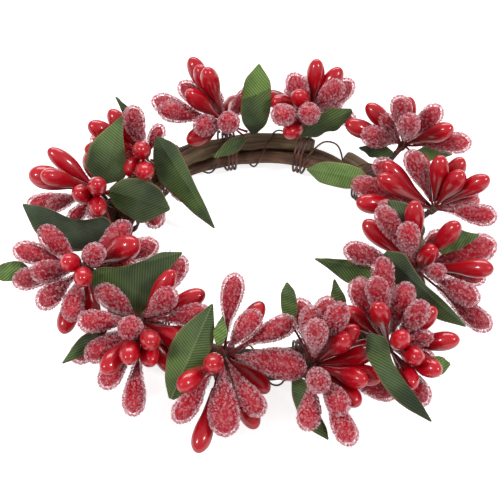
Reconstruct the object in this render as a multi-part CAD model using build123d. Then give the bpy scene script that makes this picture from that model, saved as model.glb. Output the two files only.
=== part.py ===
from build123d import *
import math
import os

# Candle ring: a vine ring with twelve wired picks of smooth and sugared berries and cloth leaves.
# Millimetres, +Z up, the table at zero, the origin on the axis of the candle opening, the front on -Y.

# Driving dimensions

ring_radius = 50.0
strand_radius = 2.7
strand_gap = 0.3
knot_swell = 0.35

tie_wire = 1.1
tie_pitch = 2.4
tie_flat = 0.5
tie_clearance = 0.35

root_height = 16.0
sight_span = 32.5

stem_wire = 0.8
shank_width = 1.8
knot_width = 3.8
seat_gap = 0.3

smooth_length = 14.0
smooth_width = 6.5
long_length = 17.0
long_width = 6.2
broad_length = 15.0
broad_width = 8.4
sugared_length = 15.5
sugared_width = 8.2
large_length = 21.0
large_width = 10.8
small_length = 11.0
small_width = 6.2
berry_neck = 1.6

leaf_thickness = 0.5
leaf_base = 1.6
leaf_tip = 0.5

clearance = 0.3
floor_clearance = 0.3

# Counts and angles

strand_count = 3
strand_sides = 7
strand_stations = 28
strand_turns = 1.0
strand_span = 346.0
strand_starts = (68.0, 205.0, 318.0)
berry_sides = 7
tie_sides = 4
stem_sides = 3
tie_half_turns = 2
tie_checks = 12
sight_rise = 47.0
swell_pace = 2.4
settle_step_share = 0.04
settle_steps = 9
nudge_share = 0.05
nudge_steps = 3
nudge_ways = 8
nudge_cost_share = 2.0
furthest_share = 1.12
far_share = 0.3

# Profiles, as shares of the length and of the half width

smooth_shares = ((0.62, 1.0), (0.88, 0.78), (1.0, 0.3))
sugared_shares = ((0.56, 0.98), (0.84, 0.88), (1.0, 0.36))
bead_shares = (0.1, 0.24, 0.38, 0.5, 0.62, 0.72, 0.82)
knot_shares = ((-0.55, 0.82), (0.25, 0.95), (0.85, 0.5))
leaf_place_shares = (0.14, 0.34, 0.47, 0.64, 0.78)
holly_shares = (0.5, 1.0, 0.66, 0.84, 0.42)
ribbon_shares = (0.8, 1.0, 1.0, 0.95, 0.85)
blade_shares = (0.6, 0.95, 1.0, 0.8, 0.5)

# Kinds of berry: the length, the width and the profile

KINDS = {
    "smooth": (smooth_length, smooth_width, smooth_shares),
    "long": (long_length, long_width, smooth_shares),
    "broad": (broad_length, broad_width, smooth_shares),
    "sugared": (sugared_length, sugared_width, sugared_shares),
    "large": (large_length, large_width, sugared_shares),
    "small": (small_length, small_width, sugared_shares),
}

# Each pick's angle round the ring, and how far its collar stands out from the vine's centreline, as a share
# of the ring's radius.

pick_shares = {
    1: (102, 0.08),
    2: (72, 0.2),
    3: (40, 0.31),
    4: (11, 0.2),
    5: (343, 0.08),
    6: (310, 0.29),
    7: (287, 0.19),
    8: (258, 0.08),
    9: (226, 0.08),
    10: (195, 0.18),
    11: (160, 0.145),
    12: (137, 0.07),
}

# Berries of each pick, by where their tips are seen from the front, well above the table: right, up and
# toward the eye from the pick's collar, as shares of sight_span.

berry_shares = {
    1: (
        ("sugared", -0.27, -0.07, 0.7),
        ("sugared", 0.05, -0.02, 0.8),
        ("smooth", -0.37, 0.69, 0.2),
        ("smooth", -0.29, 0.58, 0.4),
        ("smooth", -0.19, 0.53, 0.6),
        ("long", -0.39, 0.3, 0.6),
        ("sugared", -0.5, 0.44, 0.1),
        ("sugared", -0.79, 0.25, 0.1),
        ("sugared", -0.7, 0.13, 0.3),
        ("smooth", -0.39, -0.21, 0.4),
        ("sugared", -0.2, 0.4, -0.4),
        ("smooth", 0.1, 0.3, -0.5),
        ("sugared", 0.3, 0.35, -0.35),
    ),
    2: (
        ("smooth", -0.26, -0.24, 0.7),
        ("smooth", 0.06, 0.58, 0.25),
        ("smooth", 0.28, 0.53, 0.2),
        ("sugared", 0.3, 0.3, 0.4),
        ("sugared", 0.47, 0.38, 0.1),
        ("small", 0.39, 0.07, 0.3),
        ("sugared", -0.22, 0.42, 0.3),
        ("small", -0.05, 0.38, 0.0),
        ("smooth", -0.16, 0.18, 0.65),
        ("smooth", -0.34, 0.2, 0.4),
        ("smooth", -0.46, 0.22, 0.1),
        ("sugared", -0.38, -0.05, 0.6),
        ("sugared", -0.2, -0.03, 0.85),
        ("sugared", -0.25, 0.3, -0.45),
        ("smooth", 0.05, 0.3, -0.5),
        ("sugared", 0.35, 0.25, -0.4),
    ),
    3: (
        ("smooth", -0.39, 0.43, 0.1),
        ("smooth", -0.62, 0.22, 0.2),
        ("sugared", -0.44, 0.09, 0.45),
        ("small", -0.24, 0.3, 0.1),
        ("sugared", -0.08, 0.46, 0.45),
        ("smooth", 0.05, 0.45, 0.1),
        ("sugared", 0.02, 0.22, 0.7),
        ("sugared", 0.38, 0.4, 0.3),
        ("smooth", 0.48, 0.16, 0.45),
        ("sugared", 0.65, 0.01, 0.4),
        ("sugared", 0.15, 0.3, -0.4),
        ("smooth", 0.4, 0.2, -0.4),
        ("sugared", -0.15, 0.25, -0.5),
    ),
    4: (
        ("sugared", -0.27, 0.6, 0.3),
        ("smooth", -0.14, 0.57, 0.1),
        ("smooth", 0.05, 0.53, 0.4),
        ("smooth", 0.29, 0.52, 0.2),
        ("smooth", 0.26, 0.36, 0.5),
        ("smooth", 0.48, 0.31, 0.45),
        ("small", 0.46, 0.16, 0.3),
        ("sugared", 0.62, -0.09, 0.4),
        ("smooth", -0.53, 0.47, 0.25),
        ("smooth", -0.59, 0.32, 0.4),
        ("sugared", -0.86, 0.27, 0.15),
        ("sugared", -0.61, 0.36, 0.0),
        ("smooth", -0.81, 0.06, 0.2),
        ("smooth", 0.5, 0.1, -0.25),
    ),
    5: (
        ("sugared", -0.13, 0.43, 0.65),
        ("smooth", -0.04, 0.67, 0.4),
        ("sugared", -0.34, 0.7, 0.1),
        ("sugared", -0.39, 0.62, 0.4),
        ("smooth", -0.53, 0.48, 0.2),
        ("sugared", -0.74, 0.21, 0.25),
        ("smooth", 0.09, 0.21, 0.45),
        ("smooth", 0.39, 0.45, 0.5),
        ("small", 0.22, 0.43, 0.2),
        ("large", 0.82, 0.26, 0.25),
        ("smooth", 0.74, 0.0, 0.45),
        ("small", 0.7, -0.11, 0.3),
        ("sugared", 0.58, -0.32, 0.6),
        ("small", 0.23, -0.04, 0.6),
        ("sugared", 0.72, -0.6, 0.5),
    ),
    6: (
        ("sugared", -0.07, 0.89, 0.1),
        ("small", -0.3, 0.69, 0.0),
        ("sugared", -0.36, 0.66, 0.2),
        ("sugared", -0.17, 0.68, 0.4),
        ("sugared", 0.17, 0.63, 0.4),
        ("sugared", 0.31, 0.43, 0.6),
        ("smooth", 0.44, 0.38, 0.3),
        ("small", 0.4, 0.17, 0.4),
        ("smooth", -0.15, 0.42, 0.7),
        ("smooth", -0.46, 0.38, 0.45),
        ("smooth", 0.09, 0.12, 0.85),
        ("smooth", 0.67, 0.08, 0.5),
        ("smooth", 0.21, -0.05, 0.8),
        ("smooth", 0.34, -0.11, 0.5),
        ("smooth", 0.26, -0.28, 0.75),
        ("sugared", 0.33, -0.43, 0.65),
        ("small", 0.44, -0.04, 0.3),
    ),
    7: (
        ("sugared", -0.14, 0.65, 0.0),
        ("sugared", 0.18, 0.71, 0.1),
        ("sugared", -0.04, 0.57, 0.35),
        ("sugared", 0.21, 0.6, 0.4),
        ("sugared", 0.0, 0.42, 0.65),
        ("smooth", 0.41, 0.38, 0.3),
        ("smooth", 0.31, 0.29, 0.6),
        ("smooth", 0.63, 0.19, 0.1),
        ("smooth", 0.57, 0.14, 0.45),
        ("smooth", 0.64, -0.07, 0.4),
        ("smooth", 0.48, -0.13, 0.65),
        ("sugared", 0.81, -0.29, 0.4),
        ("sugared", 0.04, -0.16, 0.85),
        ("sugared", 0.26, -0.36, 0.8),
        ("smooth", 0.42, -0.36, 0.55),
        ("sugared", 0.35, -0.67, 0.75),
        ("sugared", -0.08, -0.58, 0.7),
    ),
    8: (
        ("large", 0.8, -0.12, 0.35),
        ("large", 0.03, -0.74, 0.65),
        ("sugared", 0.13, 0.81, 0.15),
        ("smooth", 0.39, 0.51, -0.1),
        ("sugared", 0.35, 0.43, 0.35),
        ("sugared", 0.71, 0.4, 0.3),
        ("smooth", 0.45, -0.36, 0.1),
        ("sugared", 0.38, -0.56, 0.5),
        ("smooth", 0.32, -0.71, 0.5),
        ("smooth", -0.19, -0.91, 0.65),
        ("sugared", -0.45, -0.62, 0.55),
        ("smooth", -0.4, -0.29, 0.5),
        ("smooth", -0.1, -0.08, 0.75),
    ),
    9: (
        ("long", 0.32, 0.51, 0.2),
        ("sugared", 0.42, 0.65, 0.1),
        ("smooth", 0.63, 0.29, 0.1),
        ("sugared", 0.69, 0.1, 0.3),
        ("sugared", 0.33, 0.31, 0.5),
        ("sugared", -0.44, 0.35, 0.2),
        ("sugared", -0.59, 0.01, 0.3),
        ("sugared", -0.12, -0.06, 0.75),
        ("sugared", -0.55, -0.31, 0.5),
        ("sugared", -0.7, -0.37, 0.2),
        ("smooth", -0.33, -0.46, 0.65),
        ("sugared", -0.36, -0.64, 0.5),
        ("smooth", -0.1, -0.35, 0.8),
        ("smooth", 0.1, -0.23, 0.85),
        ("smooth", 0.44, -0.22, 0.5),
        ("smooth", 0.62, -0.21, 0.25),
        ("smooth", 0.12, -0.39, 0.65),
        ("smooth", 0.34, -0.37, 0.6),
        ("sugared", -0.06, -0.89, 0.7),
    ),
    10: (
        ("sugared", 0.76, 0.24, 0.05),
        ("sugared", -0.44, 0.41, 0.2),
        ("sugared", -0.69, 0.16, 0.1),
        ("sugared", -0.49, -0.05, 0.5),
        ("sugared", -0.71, -0.15, 0.25),
        ("sugared", -0.41, -0.38, 0.5),
        ("sugared", -0.1, -0.5, 0.65),
        ("smooth", -0.19, -0.65, 0.6),
        ("smooth", 0.0, -0.56, 0.4),
        ("smooth", -0.13, 0.06, 0.75),
        ("smooth", 0.04, -0.11, 0.6),
        ("sugared", 0.18, 0.16, 0.75),
        ("broad", 0.56, 0.25, 0.45),
        ("sugared", 0.54, 0.39, 0.1),
        ("small", 0.56, 0.0, 0.2),
    ),
    11: (
        ("long", -0.52, 0.44, 0.1),
        ("broad", -0.7, 0.18, 0.3),
        ("smooth", -0.54, 0.16, 0.5),
        ("smooth", -0.19, -0.04, 0.65),
        ("smooth", 0.0, 0.02, 0.8),
        ("smooth", 0.39, 0.0, 0.4),
        ("smooth", 0.07, -0.18, 0.75),
        ("sugared", -0.77, -0.17, 0.0),
        ("small", -0.54, -0.18, 0.1),
        ("small", -0.38, -0.26, 0.2),
        ("small", -0.04, -0.29, 0.35),
        ("sugared", -0.4, 0.2, -0.4),
        ("smooth", -0.2, 0.35, -0.4),
    ),
    12: (
        ("sugared", 0.15, -0.76, 0.6),
        ("smooth", -0.35, 0.48, 0.2),
        ("smooth", -0.56, 0.33, 0.25),
        ("sugared", -0.58, 0.2, 0.0),
        ("smooth", -0.57, 0.1, 0.25),
        ("small", -0.58, -0.01, 0.1),
        ("sugared", -0.11, 0.51, 0.3),
        ("small", 0.1, 0.33, 0.1),
        ("smooth", 0.01, 0.04, 0.8),
        ("smooth", -0.13, -0.03, 0.5),
        ("smooth", -0.02, -0.14, 0.7),
        ("sugared", 0.42, -0.47, 0.08),
        ("sugared", -0.15, 0.35, -0.4),
        ("smooth", -0.4, 0.25, -0.4),
    ),
}

# Leaves of each pick: where the stalk and the tip are seen, as the berries' tips are, then the width and the
# arch as shares of sight_span, the roll in degrees about the midrib, and how far the edges curl back. The last
# two are the half widths along the left and the right edge, as seen with the tip upward.

leaf_rows_shares = {
    1: (
        ((0.3, -0.12, 0.1), (0.36, 0.62, 0.2), 0.32, 0.05, 0, 0.2, ribbon_shares, ribbon_shares),
        ((0.22, -0.17, 0.35), (-0.12, -0.38, 0.4), 0.16, 0.03, 10, 0.1, blade_shares, blade_shares),
    ),
    2: (
        ((0.44, 0.04, 0.1), (-0.22, -0.26, 0.35), 0.28, 0.05, 10, 0.3, holly_shares, holly_shares),
    ),
    3: (
        ((-0.12, -0.1, 0.15), (-0.48, -0.04, 0.2), 0.2, 0.03, 0, 0.2, holly_shares, holly_shares),
        ((0.1, -0.1, 0.1), (0.52, -0.1, 0.0), 0.2, 0.05, 10, 0.2, holly_shares, holly_shares),
    ),
    4: (
        ((-0.66, 0.3, -0.15), (-1.3, 0.42, -0.33), 0.26, 0.03, 0, 0.2, ribbon_shares, ribbon_shares),
    ),
    5: (
        ((0.0, 0.2, 0.1), (-0.28, 0.69, 0.08), 0.42, 0.08, 0, 0.4,
         (0.4, 0.4, 0.4, 0.4, 0.4), (0.6, 0.95, 1.0, 0.95, 0.75)),
        ((0.19, 0.2, 0.22), (0.62, 0.34, 0.2), 0.32, 0.05, 0, 0.2,
         (0.9, 1.0, 0.95, 0.7, 0.4), (0.5, 0.5, 0.5, 0.4, 0.3)),
        ((-0.34, 0.16, 0.5), (0.44, -0.56, 0.75), 0.52, 0.12, -10, 0.2,
         (0.55, 0.3, 0.2, 0.22, 0.2), (0.6, 1.0, 1.0, 0.66, 0.5)),
        ((-0.42, -0.04, 0.1), (-1.02, 0.1, 0.15), 0.34, 0.05, 0, 0.2,
         (0.85, 1.0, 0.9, 0.6, 0.35), (0.4, 0.45, 0.4, 0.3, 0.2)),
    ),
    6: (
        ((-0.22, 0.14, 0.55), (0.36, -0.68, 0.8), 0.36, 0.15, 0, 0.25,
         (0.7, 0.16, 0.1, 0.1, 0.14), (0.8, 0.9, 1.0, 0.95, 0.7)),
        ((0.25, -0.2, 0.35), (0.58, -0.16, 0.3), 0.2, 0.03, 0, 0.1, ribbon_shares, ribbon_shares),
    ),
    7: (
        ((-0.22, 0.4, 0.0), (-0.26, 0.8, 0.1), 0.16, 0.03, 0, 0.3, ribbon_shares, ribbon_shares),
        ((0.27, 0.44, 0.0), (0.2, 0.83, 0.1), 0.16, 0.03, 0, 0.1, blade_shares, blade_shares),
        ((-0.2, -0.12, 0.12), (0.13, -0.7, 0.4), 0.38, -0.06, -20, 0.2,
         (0.5, 0.35, 0.2, 0.15, 0.15), (0.6, 0.9, 1.0, 0.9, 0.6)),
    ),
    8: (
        ((-0.5, -0.42, 0.25), (-0.1, 0.5, 0.25), 0.44, 0.06, 0, 0.25,
         (0.6, 0.9, 1.0, 0.9, 0.6), (0.7, 0.8, 0.7, 0.75, 0.55)),
        ((-0.04, 0.1, 0.3), (0.0, 0.38, 0.3), 0.14, 0.03, 0, 0.1, blade_shares, blade_shares),
    ),
    9: (
        ((-0.34, -0.06, 0.2), (-0.76, -0.4, 0.3), 0.18, 0.03, 0, 0.2, blade_shares, blade_shares),
    ),
    10: (
        ((0.06, -0.1, 0.42), (1.0, 0.15, 0.45), 0.96, 0.06, 0, 0.12,
         (0.16, 0.04, 0.03, 0.05, 0.14), (0.62, 0.94, 1.0, 0.65, 0.34)),
        ((-0.57, -0.01, 0.0), (-0.92, -0.07, 0.05), 0.2, 0.03, 0, 0.2, ribbon_shares, ribbon_shares),
    ),
    11: (
        ((0.05, 0.08, 0.1), (0.25, 0.78, 0.14), 0.46, 0.07, 0, 0.15,
         (0.5, 0.85, 1.0, 0.78, 0.48), (0.4, 0.55, 0.55, 0.4, 0.25)),
        ((0.2, -0.46, 0.55), (-0.76, -0.14, 0.35), 0.62, 0.05, 0, 0.15,
         (0.6, 0.95, 1.0, 0.9, 0.8), (0.55, 0.15, 0.06, 0.12, 0.16)),
    ),
    12: (
        ((-0.33, -0.38, 0.62), (0.3, -0.57, 0.7), 0.46, 0.05, 0, 0.1,
         (0.7, 0.9, 0.95, 0.9, 0.75), (0.6, 0.8, 0.9, 1.0, 0.7)),
        ((0.15, 0.18, 0.4), (0.75, -0.76, 0.28), 0.46, 0.07, 0, 0.2,
         (0.6, 0.5, 0.4, 0.28, 0.22), (0.65, 1.0, 0.85, 0.6, 0.45)),
        ((-0.05, 0.3, 0.0), (-0.29, 0.62, 0.1), 0.1, 0.0, 0, 0.1, blade_shares, blade_shares),
    ),
}

# Worked-out sizes

strand_offset = (2 * strand_radius + strand_gap) / (2 * math.sin(math.pi / strand_count))
bundle_radius = strand_offset + strand_radius
tie_radius = bundle_radius + tie_clearance + tie_wire / 2
bundle_height = tie_radius + tie_wire / 2 - tie_flat
shank_start = tie_radius + tie_wire / 2 + seat_gap
fan_reach = knot_width / 2 + seat_gap

# Directions of the sight: right, up across the line of sight, and toward the eye

SIGHT_RIGHT = Vector(1, 0, 0)
SIGHT_UP = Vector(0, math.sin(math.radians(sight_rise)), math.cos(math.radians(sight_rise)))
SIGHT_TOWARD = Vector(0, -math.cos(math.radians(sight_rise)), math.sin(math.radians(sight_rise)))


def sighted(right, up, toward):
    """The offset that the three shares stand for, in the sight's own directions."""
    return (SIGHT_RIGHT * right + SIGHT_UP * up + SIGHT_TOWARD * toward) * sight_span


def polar(radius, degrees, height):
    """A point at a radius and an angle round the ring's axis."""
    angle = math.radians(degrees)
    return Vector(radius * math.cos(angle), radius * math.sin(angle), height)


def pick_root(number):
    """The point that a pick's wires spread from."""
    degrees, out_share = pick_shares[number]
    return polar(ring_radius * (1 + out_share), degrees, root_height)


def polygon(plane, radius, sides, turn=0.0):
    """The corners of a regular polygon, on a circle."""
    corners = []
    for side in range(sides):
        angle = 2 * math.pi * side / sides + turn
        corner = Vector(radius * math.cos(angle), radius * math.sin(angle), 0)
        corners.append(plane.from_local_coords(corner))
    return corners


def skinned(rings, twisted):
    """A closed solid of flat faces through rings of corners, split into triangles where the sides twist."""
    faces = [Face(Wire.make_polygon(rings[0])), Face(Wire.make_polygon(rings[-1]))]
    for low, high in zip(rings, rings[1:]):
        for side in range(len(low)):
            after = (side + 1) % len(low)
            corners = [low[side], low[after], high[after], high[side]]
            if twisted:
                faces.append(Face(Wire.make_polygon(corners[:3])))
                faces.append(Face(Wire.make_polygon([corners[0], corners[2], corners[3]])))
            else:
                faces.append(Face(Wire.make_polygon(corners)))
    return Solid(Shell(faces))


# The vine


def strand_centre(strand, degrees):
    """A strand's middle at an angle round the ring, as it winds about the other two."""
    phase = 2 * math.pi * (strand / strand_count + strand_turns * degrees / 360)
    radius = ring_radius + strand_offset * math.cos(phase)
    return polar(radius, degrees, bundle_height + strand_offset * math.sin(phase))


def vine_strand(strand):
    """One twig, bent nearly once round, with slight swellings."""
    rings = []
    for station in range(strand_stations + 1):
        degrees = strand_starts[strand] + strand_span * station / strand_stations
        middle = strand_centre(strand, degrees)
        swell = knot_swell * (math.sin(swell_pace * (station + strand)) - 1) / 2
        outward = polar(1, degrees, 0)
        ring = []
        for side in range(strand_sides):
            angle = 2 * math.pi * (side + 0.5) / strand_sides
            spread = (strand_radius + swell) * math.cos(angle)
            rise = (strand_radius + swell) * math.sin(angle)
            point = middle + outward * spread
            ring.append(Vector(point.X, point.Y, point.Z + rise))
        rings.append(ring)
    return skinned(rings, True)


# The ties


def biarc(start, heading, end, end_heading):
    """Two arcs that leave start along heading, meet in one line and reach end along end_heading."""
    gap = end - start
    both = heading + end_heading
    square = both.dot(both) - 4
    middle = gap.dot(both)
    reach = (middle - math.sqrt(middle * middle - square * gap.dot(gap))) / square
    first = start + heading * reach
    second = end - end_heading * reach
    joint = (first + second) / 2
    turn = (second - first).normalized()
    return [Edge.make_tangent_arc(start, heading, joint), Edge.make_tangent_arc(joint, turn, end)]


def tie_point(number, half_turn):
    """A point of a tie's middle line and its heading there, counted in half turns from its first end."""
    degrees = pick_shares[number][0]
    outward = polar(1, degrees, 0)
    forward = polar(1, degrees + 90, 0)
    angle = collar_lean(number) + math.pi * (half_turn - tie_half_turns / 2)
    advance = tie_pitch * (half_turn - tie_half_turns / 2) / 2
    middle = polar(ring_radius, degrees, bundle_height)
    spread = outward * math.cos(angle) + Vector(0, 0, 1) * math.sin(angle)
    heading = Vector(0, 0, 1) * math.cos(angle) - outward * math.sin(angle)
    heading = heading * (math.pi * tie_radius) + forward * (tie_pitch / 2)
    return middle + spread * tie_radius + forward * advance, heading.normalized()


def tie_edges(number):
    """The arcs of one tie's middle line."""
    edges = []
    for half_turn in range(tie_half_turns):
        start, heading = tie_point(number, half_turn)
        end, end_heading = tie_point(number, half_turn + 1)
        edges.extend(biarc(start, heading, end, end_heading))
    return edges


def least_gap(edges):
    """The least gap between two turns of a tie, measured on points of its middle line."""
    points = []
    for edge in edges:
        points.extend(edge.position_at(step / tie_checks) for step in range(tie_checks))
    apart = 3 * tie_checks
    spans = []
    for index, point in enumerate(points):
        spans.extend((point - other).length for other in points[index + apart:])
    return min(spans) - tie_wire


def tie_solid(number):
    """One wire wound round the vine below a collar, flat where it lies on the table."""
    edges = tie_edges(number)
    start, heading = tie_point(number, 0)
    across = polar(1, pick_shares[number][0] + 90, 0)
    plane = Plane(origin=start, x_dir=across, z_dir=heading)
    corners = polygon(plane, tie_wire / math.sqrt(2), tie_sides, math.pi / tie_sides)
    wound = sweep(Face(Wire.make_polygon(corners)), path=Wire(edges))
    table = Pos(polar(ring_radius, pick_shares[number][0], -tie_wire / 2)) * Box(
        4 * tie_radius, 4 * tie_radius, tie_wire
    )
    print("tie", number, "least gap to itself", round(least_gap(edges), 2))
    return wound - table


# The berries


def berry_solid(base, axis, kind):
    """One berry, skinned from its neck to its tip."""
    length, width, profile = KINDS[kind]
    rings = [polygon(Plane(origin=base, z_dir=axis), berry_neck / 2, berry_sides)]
    for along, across in profile:
        plane = Plane(origin=base + axis * (along * length), z_dir=axis)
        rings.append(polygon(plane, across * width / 2, berry_sides))
    return skinned(rings, False)


def berry_beads(base, axis, kind):
    """Balls that fill a berry, for the settling."""
    length, width, profile = KINDS[kind]
    corners = [(0.0, berry_neck / width)] + list(profile)
    beads = []
    for along in bead_shares:
        for (low, narrow), (high, wide) in zip(corners, corners[1:]):
            if low <= along <= high:
                across = narrow + (wide - narrow) * (along - low) / (high - low)
                beads.append((base + axis * (length * along), across * width / 2))
    return beads


def wire_beads(root, base, reach):
    """Balls along a stem wire that starts at a reach from the root, for the settling."""
    ahead = (base - root).normalized()
    start = root + ahead * reach
    run = base - ahead * (stem_wire / 2) - start
    count = max(int(run.length / stem_wire * 2), 1)
    return [(start + run * (step / count), stem_wire / 2) for step in range(count + 1)]


def branch(root, base, wires):
    """How far from the root a new wire leaves its neighbours, or nothing where it can't."""
    span = (base - root).length
    reach = fan_reach
    while reach < span - stem_wire:
        wire = Clump(wire_beads(root, base, reach))
        if not any(wire.meets(other) for other in wires):
            return reach
        reach += stem_wire
    return None


# Leaves


def leaf_frame(root, row):
    """A leaf's stalk end, its run to the tip, the direction its face looks and the direction across it."""
    stalk, tip, _, _, roll, *_ = row
    start = root + sighted(*stalk)
    run = root + sighted(*tip) - start
    along = run.normalized()
    across = SIGHT_TOWARD.cross(along).normalized()
    face = along.cross(across)
    turn = math.radians(roll)
    looks = face * math.cos(turn) + across * math.sin(turn)
    return start, run, looks, looks.cross(along).normalized() * -1


def leaf_stations(root, row):
    """The left edge, the midrib and the right edge of a leaf's upper side, from the stalk to the tip."""
    _, _, width_share, arch_share, _, curl, lefts, rights = row
    start, run, looks, across = leaf_frame(root, row)
    half = width_share * sight_span / 2
    stations = [(0.0, leaf_base / 2, leaf_base / 2)]
    for along, left, right in zip(leaf_place_shares, lefts, rights):
        stations.append((along, left * half, right * half))
    stations.append((1.0, leaf_tip / 2, leaf_tip / 2))
    out = []
    for along, left, right in stations:
        lift = 4 * arch_share * sight_span * along * (1 - along)
        middle = start + run * along + looks * lift
        left_edge = middle - across * left - looks * (curl * left)
        right_edge = middle + across * right - looks * (curl * right)
        out.append((left_edge, middle, right_edge))
    return out


def leaf_solid(root, row):
    """One stiffened cloth leaf, arched along its midrib and folded back at both edges."""
    looks = leaf_frame(root, row)[2]
    rings = []
    for left, middle, right in leaf_stations(root, row):
        under = looks * leaf_thickness
        rings.append([left, middle, right, right - under, middle - under, left - under])
    return skinned(rings, True)


def leaf_stem_end(root, row):
    """Where a leaf's stem wire ends, just short of the leaf."""
    start = leaf_frame(root, row)[0]
    return start - (start - root).normalized() * seat_gap


def has_stem(root, row):
    """Whether a leaf's stalk stands far enough from the root to need a stem wire."""
    return (leaf_stem_end(root, row) - root).length > fan_reach + stem_wire


def leaf_beads(root, row):
    """Balls spread over a leaf, for the settling."""
    looks = leaf_frame(root, row)[2]
    beads = []
    stations = leaf_stations(root, row)
    for low, high in zip(stations, stations[1:]):
        steps = max(int((high[1] - low[1]).length / leaf_thickness / 2), 1)
        for step in range(steps):
            share = step / steps
            edges = [a + (b - a) * share - looks * (leaf_thickness / 2) for a, b in zip(low, high)]
            for edge in (edges[0], edges[2]):
                span = edge - edges[1]
                count = max(int(span.length / leaf_thickness / 2), 1)
                for place in range(count + 1):
                    beads.append((edges[1] + span * (place / count), leaf_thickness / 2))
    return beads


# Settling


class Clump:
    """A set of balls with one bounding ball."""

    def __init__(self, beads):
        self.beads = [((middle.X, middle.Y, middle.Z), radius) for middle, radius in beads]
        count = len(beads)
        self.middle = tuple(sum(middle[axis] for middle, _ in self.beads) / count for axis in range(3))
        self.reach = max(math.dist(middle, self.middle) + radius for middle, radius in self.beads)

    def meets(self, other):
        """Whether any two balls of this and another clump come nearer than the clearance."""
        if math.dist(self.middle, other.middle) > self.reach + other.reach + clearance:
            return False
        for middle, radius in self.beads:
            if math.dist(middle, other.middle) > radius + other.reach + clearance:
                continue
            for place, size in other.beads:
                if math.dist(middle, place) < radius + size + clearance:
                    return True
        return False

    def grounded(self):
        """Whether the clump reaches the table or the vine with its ties."""
        for (x, y, z), radius in self.beads:
            if z - radius < floor_clearance:
                return True
            off_ring = math.hypot(x, y) - ring_radius
            if math.hypot(off_ring, z - bundle_height) < radius + shank_start:
                return True
        return False


def settle_order():
    """Offsets right, up and toward the eye, the ones that show least first."""
    nudges = [(0.0, 0.0, 0.0)]
    for step in range(1, nudge_steps + 1):
        for way in range(nudge_ways):
            angle = 2 * math.pi * way / nudge_ways
            size = nudge_share * step
            nudges.append((size * math.cos(angle), size * math.sin(angle), size * nudge_cost_share))
    offsets = []
    for right, up, cost in nudges:
        for step in range(-settle_steps, settle_steps + 1):
            toward = settle_step_share * step
            offsets.append((cost + abs(toward), right, up, toward))
    return sorted(offsets)


SETTLE_ORDER = settle_order()


def settle(number, kind, tip_shares, placed, wires, knots):
    """Moves a berry as little as may be seen to a place where it and its wire touch nothing."""
    root = pick_root(number)
    others = [knot for owner, knot in knots.items() if owner != number]
    right, up, toward = tip_shares
    length = KINDS[kind][0]
    for cost, more_right, more_up, more_toward in SETTLE_ORDER:
        run = sighted(right + more_right, up + more_up, toward + more_toward)
        if not length + fan_reach < run.length < furthest_share * sight_span:
            continue
        axis = run.normalized()
        base = root + run - axis * length
        body = Clump(berry_beads(base, axis, kind))
        if body.grounded() or any(body.meets(other) for other in placed):
            continue
        if any(body.meets(other) for other in wires + list(knots.values())):
            continue
        reach = branch(root, base, wires)
        if reach is None:
            continue
        wire = Clump(wire_beads(root, base, reach))
        if wire.grounded() or any(wire.meets(other) for other in placed + others):
            continue
        return base, axis, body, wire, cost, root + axis * reach
    return None


# Collars and stems


def collar_axis(number):
    """The direction a pick's collar points: away from the vine's centreline."""
    middle = polar(ring_radius, pick_shares[number][0], bundle_height)
    return (pick_root(number) - middle).normalized()


def collar_lean(number):
    """How steeply a pick's collar rises outward from the vine, in radians."""
    return math.atan2(root_height - bundle_height, pick_shares[number][1] * ring_radius)


def collar_seat(number):
    """Where a pick's shank sits on its tie."""
    middle = polar(ring_radius, pick_shares[number][0], bundle_height)
    return middle + collar_axis(number) * shank_start


def collar_solid(number):
    """A pick's taped shank, from its seat on the tie, with the knot that its wires spread from."""
    root = pick_root(number)
    axis = collar_axis(number)
    rings = [polygon(Plane(origin=collar_seat(number), z_dir=axis), shank_width / 2, berry_sides)]
    for along, across in knot_shares:
        plane = Plane(origin=root + axis * (along * knot_width / 2), z_dir=axis)
        rings.append(polygon(plane, across * knot_width / 2, berry_sides))
    return skinned(rings, False)


def shank_beads(number):
    """Balls along a shank below its knot, for the settling."""
    seat = collar_seat(number)
    run = pick_root(number) - collar_axis(number) * (knot_width / 2) - seat
    count = max(int(run.length / shank_width * 2), 1)
    return [(seat + run * (step / count), shank_width / 2) for step in range(count)]


def stem_solid(start, end):
    """One stem wire, from where it leaves its neighbours to its berry or leaf."""
    planes = [Plane(origin=place, z_dir=end - start) for place in (start, end)]
    return skinned([polygon(plane, stem_wire / 2, stem_sides) for plane in planes], False)


def leaf_stem(number, row, leaf, placed, wires):
    """Where a leaf's stem wire starts and ends, drawn back until it clears the leaf, and its balls."""
    root = pick_root(number)
    end = leaf_stem_end(root, row)
    reach = branch(root, end, wires)
    if reach is None:
        print("no stem for a leaf of", number, row)
        return None
    outward = (end - root).normalized()
    wire = Clump(wire_beads(root, end, reach))
    while wire.meets(leaf) and (end - root).length > reach + stem_wire:
        end = end - outward * seat_gap
        wire = Clump(wire_beads(root, end, reach))
    if wire.grounded() or any(wire.meets(other) for other in placed):
        print("stem wire meets something", number, row)
    return root + outward * reach, end, wire


def place_leaves(knots):
    """Lays every leaf and its stem wire, and returns them with the balls they fill."""
    placed = [Clump(shank_beads(number)) for number in pick_shares]
    wires = []
    leaves = {}
    stems = {}
    laid = []
    for number, rows in leaf_rows_shares.items():
        leaves[number] = [leaf_solid(pick_root(number), row) for row in rows]
        stems[number] = []
        for row in rows:
            leaf = Clump(leaf_beads(pick_root(number), row))
            if leaf.grounded() or any(leaf.meets(other) for other in placed + list(knots.values())):
                print("leaf meets something", number, row)
            placed.append(leaf)
            if has_stem(pick_root(number), row):
                laid.append((number, row, leaf))
    for number, row, leaf in laid:
        found = leaf_stem(number, row, leaf, placed, wires)
        if found is not None:
            stems[number].append(found[:2])
            wires.append(found[2])
    return leaves, stems, placed, wires


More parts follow.
